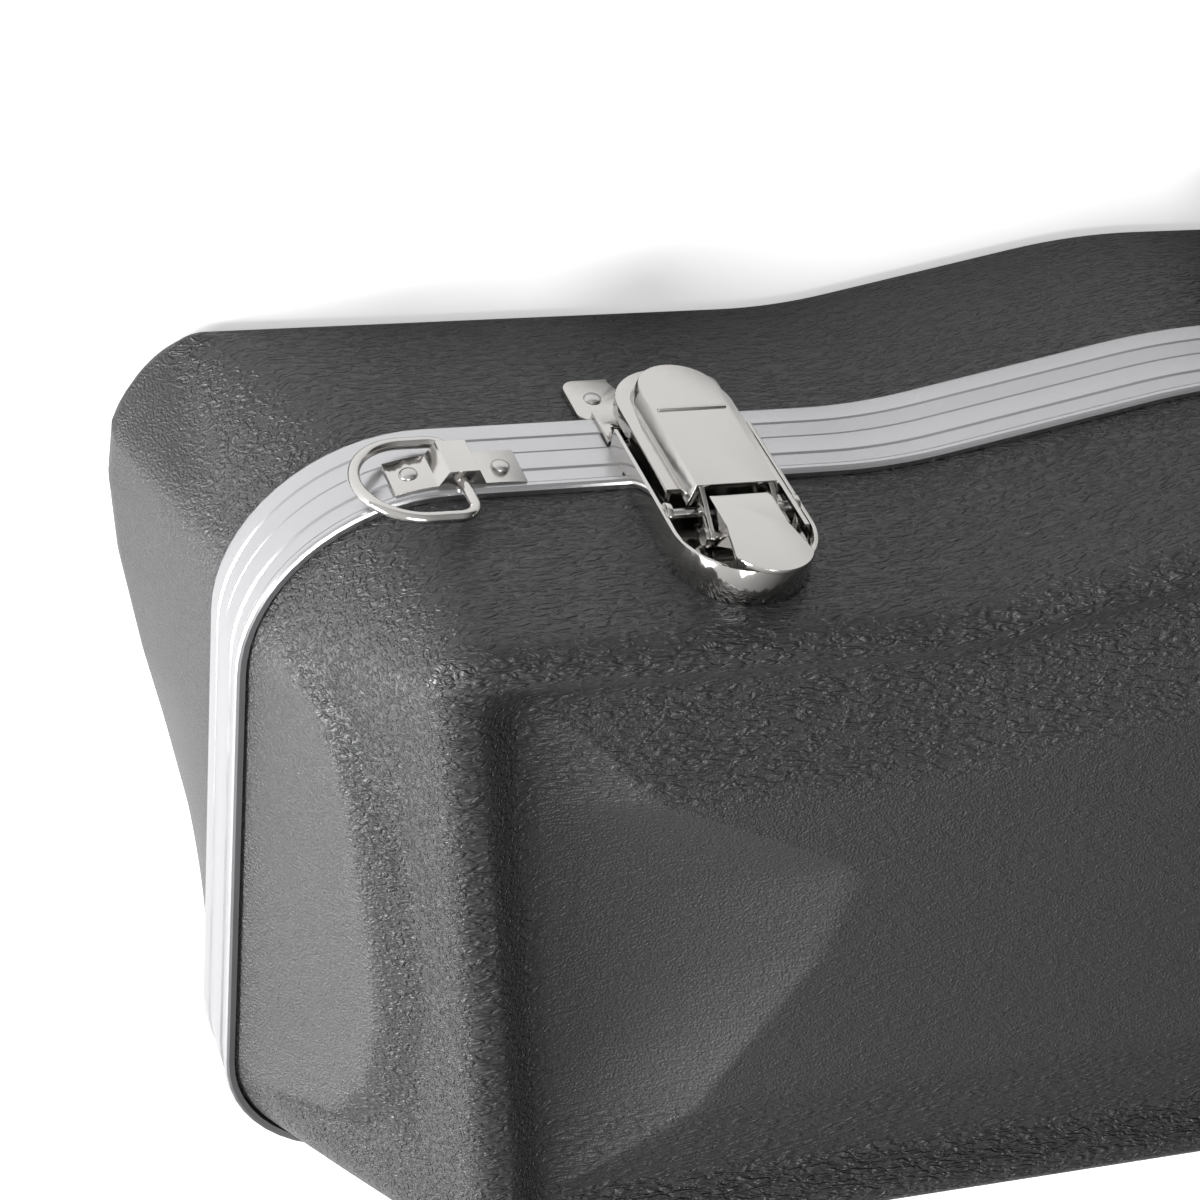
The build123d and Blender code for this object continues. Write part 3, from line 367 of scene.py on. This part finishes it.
def panel_depth(xy, drafts):
    """Depth below the crest at points inside the groove."""
    points = moved_in(np.array(drafts) + collar + groove_inset)
    run = np.roll(points, -1, axis=0) - points
    length = np.linalg.norm(run, axis=1)
    normal = np.stack([-run[:, 1], run[:, 0]], 1) / length[:, None]
    gap = np.stack([(xy - points[i]) @ normal[i] for i in range(6)], 1)
    latch_side = np.minimum(gap[:, 3], np.maximum(gap[:, 4], gap[:, 5]))
    deep = np.full(len(xy), level)
    for distance in (gap[:, 1], gap[:, 2], latch_side):
        deep = smooth_max(deep, groove - (groove - level) * distance / facet, 0.9)
    along = (xy - points[0]) @ (run[0] / length[0]) / length[0]
    reach = np.interp(along, (0, 0.22, 0.43, 0.46, 0.60, 0.81, 1),
                      (34, 36, 89, 91, 82, 50, 34))
    share = np.clip(gap[:, 0] / reach, 0, 1)
    hollow = np.clip((np.minimum(gap[:, 1], latch_side) - 14) / 45, 0, 1)
    scoop = level + (groove - level) * (1 - share ** 1.4) + 2.6 * hollow * np.sin(np.pi * share)
    return smooth_max(deep, scoop, 0.15), gap[:, 0] < reach, deep < level + 0.6


print("panel:", level, "mm and groove", groove, "mm under the crest")

# %% [markdown]
# Both narrow ends carry a raised panel, like a pillow pressed into the wall. On the lid it rises
# from the band to a curved edge and falls into a dark groove under the rim. On the base it swells
# towards the bottom, and makes the rounded shoulder that stands out beyond the band.

# %% Pillows on the narrow end
def lid_pillow(y, height):
    """How far the lid's end wall stands out, at y and a height above the seam."""
    edge = np.interp(y, (-72, -69, -60, -46, -27, -7, 17, 45, 72, 92, 100, 103),
                     (knee, 15, 38, 46, 50.5, 53, 56, 56, 52, 43, 23, knee))
    face = 0.135 * (np.minimum(height, edge) - knee) - 0.85 * np.maximum(height - edge, 0)
    dip = -1.6 * np.exp(-((height - 59.5) / 3.2) ** 2) * np.clip((edge - 30) / 15, 0, 1)
    fade = np.clip((70 - height) / 6, 0, 1)
    return np.maximum(face, dip) * fade, (face > 0.05) & (height < edge)


def base_pillow(y, height):
    """The same for the base, with the height measured downwards from the seam."""
    low_edge = -66 - 0.5 * (height - 13)
    full = np.interp(y, (-95, -77, -60, -35, 0, 25, 60, 104), (11, 15, 17.5, 17, 13, 9, 4, 0))
    sides = 1.1 * (y - low_edge)
    out = np.maximum(np.minimum(full * np.clip((height - knee) / 45, 0, 1), sides), 0)
    fade = np.clip((74.9 - height) / 12, 0, 1) ** 0.5
    return out * fade, (sides > 0.3) & (y < 104)


fullest = base_pillow(np.array([-60.0]), np.array([60.0]))[0][0]
print("base pillow stands out", round(float(fullest), 1), "mm near the latch corner")

# %% [markdown]
# The loops become one mesh, wound so that its faces point outwards, and Solidify gives the sheet
# its thickness on the inside.


# %% Build a shell
spine_ends = (-190, 100)    # x of the line that the panel's loops shrink to
spine_y = 8.0
end_faces = np.array([240.0, 20.0]) / np.hypot(240, 20)   # the way the narrow end's wall faces
sheet = 0.0029              # metres: thickness of the formed sheet


def shell(name, side, drafts, pillow):
    """One half: side is 1 for the lid and -1 for the base."""
    loops = levels(drafts)
    valley = loops[-1]
    spine = np.column_stack([np.clip(valley[:, 0], *spine_ends), np.full(len_loop, spine_y)])
    flat = []
    for share in np.linspace(0, 0.965, 44)[1:]:
        xy = valley[:, :2] * (1 - share) + spine * share
        deep, scooped, middle = panel_depth(xy, drafts)
        blend = min(share / 0.03, 1.0)
        deep = 8.5 * (1 - blend) + deep * blend
        loops.append(np.column_stack([xy, depth - deep]))
        flat.append(0.3 + 0.1 * scooped + 0.4 * middle)
    points = np.array(loops)
    sanded = np.zeros(points.shape[:2])
    sanded[-len(flat):] = flat
    end = points[:, :, 0] > 200
    walls = (points[:, :, 2] < depth + 1) & end
    walls[-len(flat) - len(crest_slope):] = False
    moved, face = pillow(points[:, :, 1], points[:, :, 2])
    points[:, :, :2] += end_faces * (moved * walls)[:, :, None]
    sanded = np.where(walls & face, 1.0, sanded)
    for _ in range(8):
        sanded = (2 * sanded + np.roll(sanded, 1, 1) + np.roll(sanded, -1, 1)
                  + np.vstack([sanded[:1], sanded[:-1]]) + np.vstack([sanded[1:], sanded[-1:]])) / 6
    points[:, :, 2] = seam_z + side * points[:, :, 2]
    count = len(points)
    low = (np.arange(count - 1)[:, None] * len_loop + np.arange(len_loop)).ravel()
    ahead = (np.arange(count - 1)[:, None] * len_loop + (np.arange(len_loop) + 1) % len_loop)
    ahead = ahead.ravel()
    quads = np.stack([low, ahead, ahead + len_loop, low + len_loop], 1)
    cap = list(range((count - 1) * len_loop, count * len_loop))
    faces = quads.tolist() + [cap]
    if side < 0:
        faces = [face[::-1] for face in faces]
    mesh = bpy.data.meshes.new(name)
    mesh.from_pydata((points.reshape(-1, 3) / 1000).tolist(), [], faces)
    mesh.polygons.foreach_set("use_smooth", [True] * len(mesh.polygons))
    paint = mesh.attributes.new("sand", "FLOAT", "POINT")
    paint.data.foreach_set("value", sanded.ravel().astype(np.float32))
    piece = stand_in(mesh, name, name.replace("moulded_", ""))
    wall = piece.modifiers.new("sheet", "SOLIDIFY")
    wall.thickness, wall.offset = sheet, -1.0
    print(name, len(mesh.vertices), "points in", count, "loops")


# %% [markdown]
# Each pair is how far a side's wall leans in, in mm, from its start to its end. The sides run
# from the narrow end, past the hinge side and the bell end, to the latch side and its shoulder.

# %% The two shells
lid_drafts = [(30.0, 60.0), (3.0, 3.0), (26.0, 30.0), (3.0, 3.0), (3.0, 3.0), (3.0, 3.0)]
base_drafts = [(-6.0, 18.0), (3.5, 3.5), (14.0, 10.0), (3.5, 3.5), (3.5, 3.5), (3.5, 3.5)]
shell("moulded_lid_shell", 1, lid_drafts, lid_pillow)
shell("moulded_base_shell", -1, base_drafts, base_pillow)

# %% [markdown]
# ## The metal band
# Each half of the band is one extrusion bent round the case, so its section is the same all round:
# a smooth step next to the seam, a second step further back and a rolled edge against the shell.
# The section is given as (distance out from the band's face, height above the seam), and it runs
# round the same outline as the shells. The edges that face up are what shines as thin white lines.


# %% A ring of one section
sharp_turn = 0.35           # radians: a bend of the section that turns more keeps a sharp edge


def stacked(points, name, *solids):
    """A ring-shaped mesh whose cross-section closes on itself."""
    count = len(points)
    here = np.arange(count)[:, None] * len_loop + np.arange(len_loop)
    ahead = np.roll(here, -1, axis=1)
    quads = np.stack([here, ahead, np.roll(ahead, -1, 0), np.roll(here, -1, 0)], -1)
    mesh = bpy.data.meshes.new(name)
    mesh.from_pydata((np.array(points).reshape(-1, 3) / 1000).tolist(), [],
                     quads.reshape(-1, 4).tolist())
    mesh.polygons.foreach_set("use_smooth", [True] * len(mesh.polygons))
    mesh.set_sharp_from_angle(angle=sharp_turn)
    return stand_in(mesh, name, *solids)


# %% Bend the band
inner_legs = [(-1.6, 4.2), (-4.6, 4.2), (-4.6, 9.0), (-5.8, 9.0)]
lid_section = [(-5.8, 0.25), (0.25, 0.25), (0.6, 0.55), (0.62, 6.7), (0.5, 7.1), (0.05, 7.6),
               (0.02, 12.6), (0.3, 12.8), (0.85, 13.2), (1.15, 13.9), (1.1, 14.9), (0.7, 15.6),
               (0.0, 15.9), (-1.6, 15.7)] + inner_legs
base_section = [(-5.8, 0.25), (-0.35, 0.25), (0.1, 0.75), (0.12, 6.3), (0.5, 6.8), (0.6, 7.2),
                (0.62, 12.3), (0.4, 12.8), (-0.1, 13.0), (-1.6, 13.0)] + inner_legs
for name, side, section in (("lid_valance", 1, lid_section), ("base_valance", -1, base_section)):
    loops = []
    for out, height in section:
        radii = band_radii + out * np.array([1, 1, 1, 1, 1, -1])
        loops.append(np.column_stack([outline(np.full((6, 2), -out), radii),
                                      np.full(len_loop, seam_z + side * height)]))
    band = stacked(loops[::side], "drawn_" + name, name)
    print(name, len(band.data.polygons), "faces")

# %% [markdown]
# ## Pressed and plated steel
# A pressed edge is never sharp: the sheet's corners roll over by a few tenths of a millimetre, and
# on bright plate that roll is what catches the light. A copy of each solid is merged, its flat
# faces joined, and a small Bevel put on every edge.


# %% Soften the pressed pieces
touching = 1e-6             # metres: corners closer than this are one corner
edge_roll = 0.00028         # metres that a pressed edge rolls over


def softened(name, width):
    """Stand in a copy of a solid with its edges rolled over by width."""
    mesh = nodes[name].data.copy()
    mesh.name = "soft_" + name
    work = bmesh.new()
    work.from_mesh(mesh)
    bmesh.ops.remove_doubles(work, verts=work.verts, dist=touching)
    bmesh.ops.dissolve_limit(work, angle_limit=0.01, verts=work.verts, edges=work.edges)
    for face in work.faces:
        face.smooth = True
    work.to_mesh(mesh)
    work.free()
    piece = stand_in(mesh, "soft_" + name, name)
    edge = piece.modifiers.new("rolled edge", "BEVEL")
    edge.width, edge.segments, edge.limit_method, edge.angle_limit = width, 2, "ANGLE", 0.6
    edge.harden_normals = True


for name in nodes:
    if slots[name] == "plated_steel" and not name.startswith("strap_ring"):
        softened(name, edge_roll)

# %% [markdown]
# ## Rivets
# Every rivet head is the same dome, so one Geometry Nodes tree sets them all: a point for each
# head, with the way it faces, and a dome on each point.

# %% Rivet tree
tree = bpy.data.node_groups.new("rivets", "GeometryNodeTree")
face_in = tree.interface.new_socket("Geometry", in_out="INPUT", socket_type="NodeSocketGeometry")
radius_in = tree.interface.new_socket("Radius", in_out="INPUT", socket_type="NodeSocketFloat")
crown_in = tree.interface.new_socket("Crown", in_out="INPUT", socket_type="NodeSocketFloat")
tree.interface.new_socket("Geometry", in_out="OUTPUT", socket_type="NodeSocketGeometry")
start = node(tree, "NodeGroupInput")
dome = node(tree, "GeometryNodeMeshUVSphere", {"Segments": 24, "Rings": 14, "Radius": 1.0})
size = node(tree, "ShaderNodeCombineXYZ", {0: start.outputs["Radius"], 1: start.outputs["Radius"],
                                           2: start.outputs["Crown"]})
head = node(tree, "GeometryNodeTransform", {"Geometry": dome.outputs["Mesh"],
                                            "Scale": size.outputs[0]})
facing = node(tree, "GeometryNodeInputNamedAttribute", {"Name": "facing"},
              data_type="FLOAT_VECTOR")
turn = node(tree, "FunctionNodeAlignRotationToVector", {"Vector": facing.outputs["Attribute"]},
            axis="Z")
heads = node(tree, "GeometryNodeInstanceOnPoints",
             {"Points": start.outputs["Geometry"], "Instance": head.outputs[0],
              "Rotation": turn.outputs[0]})
real = node(tree, "GeometryNodeRealizeInstances", {0: heads.outputs[0]})
smooth = node(tree, "GeometryNodeSetShadeSmooth", {0: real.outputs[0]})
finish = node(tree, "GeometryNodeSetMaterial", {"Geometry": smooth.outputs[0],
                                                "Material": steel})
node(tree, "NodeGroupOutput", {"Geometry": finish.outputs[0]})
print("rivet tree:", len(tree.nodes), "nodes")

# %% [markdown]
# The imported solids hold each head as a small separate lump. Its thinnest direction is the way the
# head faces, turned to point away from the case's middle, and its lowest point is where it sits.


# %% Set the rivets
head_radius, head_height = 0.0025, 0.0013   # metres


def islands(mesh):
    """The corner points of each separate solid in a mesh, always in the same order."""
    work = bmesh.new()
    work.from_mesh(mesh)
    bmesh.ops.remove_doubles(work, verts=work.verts, dist=touching)
    met, found = set(), []
    for first in work.verts:
        if first in met:
            continue
        met.add(first)
        stack, group = [first], []
        while stack:
            vert = stack.pop()
            group.append(vert.co.copy())
            for edge in vert.link_edges:
                other = edge.other_vert(vert)
                if other not in met:
                    met.add(other)
                    stack.append(other)
        found.append(np.array(group))
    work.free()
    return found


for name in ("base_rivets", "lid_rivets"):
    seats, ways = [], []
    for group in islands(nodes[name].data):
        middle = (group.max(0) + group.min(0)) / 2
        way = np.linalg.svd(group - group.mean(0))[2][2]
        outward = middle[:2] - np.clip(middle[:2], (-0.2, -0.05), (0.2, 0.05))
        way = way if way[:2] @ outward > 0 else -way
        seats.append(middle + way * ((group - middle) @ way).min())
        ways.append(way)
    dots = bpy.data.meshes.new(name + "_points")
    dots.from_pydata([tuple(seat) for seat in seats], [], [])
    facing_at = dots.attributes.new("facing", "FLOAT_VECTOR", "POINT")
    facing_at.data.foreach_set("vector", np.array(ways, np.float32).ravel())
    holder = bpy.data.objects.new(name + "_points", dots)
    bpy.context.scene.collection.objects.link(holder)
    setting = holder.modifiers.new("rivets", "NODES")
    setting.node_group = tree
    setting[radius_in.identifier] = head_radius
    setting[crown_in.identifier] = head_height
    seen = holder.evaluated_get(bpy.context.evaluated_depsgraph_get())
    mesh = bpy.data.meshes.new_from_object(seen)
    bpy.data.objects.remove(holder)
    stand_in(mesh, "domed_" + name, name)
    print(name, len(seats), "heads")

# %% [markdown]
# ## The plush lining
# The foam blocks are covered with short plush, drawn tight over every edge. A voxel remesh gives an
# even skin, and smoothing rounds each edge as the cloth does.

# %% Cover the foam
skin_step = 0.0034          # metres between two points of the skin
for name in [name for name in nodes if slots[name] == "plush_foam"]:
    holder = bpy.data.objects.new("foam", nodes[name].data.copy())
    bpy.context.scene.collection.objects.link(holder)
    weld = holder.modifiers.new("weld", "WELD")
    weld.merge_threshold = touching
    skin = holder.modifiers.new("skin", "REMESH")
    skin.mode, skin.voxel_size, skin.use_smooth_shade = "VOXEL", skin_step, True
    ease = holder.modifiers.new("ease", "SMOOTH")
    ease.factor, ease.iterations = 0.5, 6
    seen = holder.evaluated_get(bpy.context.evaluated_depsgraph_get())
    mesh = bpy.data.meshes.new_from_object(seen)
    bpy.data.objects.remove(holder)
    piece = stand_in(mesh, "plush_" + name, name)
    print(name, len(mesh.polygons), "faces")

# %% [markdown]
# ## Camera
# The camera stands where the perspective of the photograph puts it, off the narrow end and the
# latch side, looking down, rolled so that the case leans across the picture.

# %% Camera
camera = bpy.data.objects.new("camera", bpy.data.cameras.new("camera"))
bpy.context.scene.collection.objects.link(camera)
right = Vector((-0.92958, -0.16894, 0.32764))
up = Vector((-0.07317, -0.78656, -0.61317))
turned = Matrix((right, up, right.cross(up))).transposed().to_4x4()
camera.matrix_world = Matrix.Translation((0.4984, -0.5694, 0.7006)) @ turned
camera.data.sensor_width, camera.data.lens, camera.data.clip_start = 36, 96, 0.01
bpy.context.scene.camera = camera
print("camera:", round(camera.matrix_world.translation.length, 3), "m from the footprint's middle")

# %% [markdown]
# ## Floor, world and lamps
# A white floor and a white world give the plain studio. Light Path tells the world what kind of
# ray asks. The camera sees strength 1, so the ground stays white without more light on the case.
# For light and for reflections the world is brighter towards the narrow end and darker behind, as
# a studio with one window is, so that plated metal shows both light and dark. The floor glows a
# little for the camera alone, and keeps the case's shadow.

# %% Floor
floor_glow = 0.5
bpy.ops.mesh.primitive_plane_add(size=12)
floor = bpy.context.object
floor.name = "floor"
paper, tree, shader, place = material("white paper", Base_Color=rgb("FFFFFF"), Roughness=0.9)
glow = node(tree, "ShaderNodeMath", {0: node(tree, "ShaderNodeLightPath").outputs["Is Camera Ray"],
                                     1: floor_glow}, operation="MULTIPLY")
shader.inputs["Emission Color"].default_value = rgb("FFFFFF")
tree.links.new(glow.outputs[0], shader.inputs["Emission Strength"])
floor.data.materials.append(paper)
print("floor:", paper.name)

# %% World
bright_way = (0.90, -0.25, 0.30)            # the side of the studio that is bright
world = bpy.data.worlds.new("studio")
bpy.context.scene.world = world
world.use_nodes = True
tree = world.node_tree
ray = node(tree, "ShaderNodeLightPath")
sky = node(tree, "ShaderNodeTexCoord").outputs["Generated"]
slope = node(tree, "ShaderNodeVectorMath", {0: sky, 1: bright_way},
             operation="DOT_PRODUCT")
soft_light = node(tree, "ShaderNodeMapRange", {"Value": slope.outputs["Value"], "From Min": -0.7,
                                               "From Max": 0.9, "To Min": 0.05, "To Max": 0.42})
mirrored = node(tree, "ShaderNodeMapRange", {"Value": slope.outputs["Value"], "From Min": -0.5,
                                             "From Max": 0.8, "To Min": 0.08, "To Max": 0.95})
seen = node(tree, "ShaderNodeMix", {0: ray.outputs["Is Glossy Ray"], 2: soft_light.outputs[0],
                                    3: mirrored.outputs[0]})
strength = node(tree, "ShaderNodeMix", {0: ray.outputs["Is Camera Ray"], 2: seen.outputs[0],
                                        3: 1.0})
tree.links.new(strength.outputs[0], tree.nodes["Background"].inputs["Strength"])
tree.nodes["Background"].inputs["Color"].default_value = rgb("FFFFFF")
bpy.context.scene.view_settings.view_transform = "Standard"
print("world:", world.name)

# %% [markdown]
# One lamp stands low beyond the narrow end and rakes across the grain, and a weaker one hangs
# above the case and keeps its top from going dark.


# %% Lamps
aimed_at = Vector((0.1, 0, 0.08))           # a point inside the case, near its narrow end


def lamp(name, place, size, power):
    """A round soft lamp that faces the case: size in metres, power in watts."""
    light = bpy.data.lights.new(name, "AREA")
    light.shape, light.size, light.energy = "DISK", size, power
    thing = bpy.data.objects.new(name, light)
    bpy.context.scene.collection.objects.link(thing)
    thing.location = place
    aim = aimed_at - Vector(place)
    thing.rotation_euler = aim.to_track_quat("-Z", "Y").to_euler()
    print(name, "lamp", round(aim.length, 2), "m away")


lamp("key", (2.2, 0.55, 0.62), 0.9, 90)
lamp("top", (0.7, -0.1, 2.1), 1.0, 27)
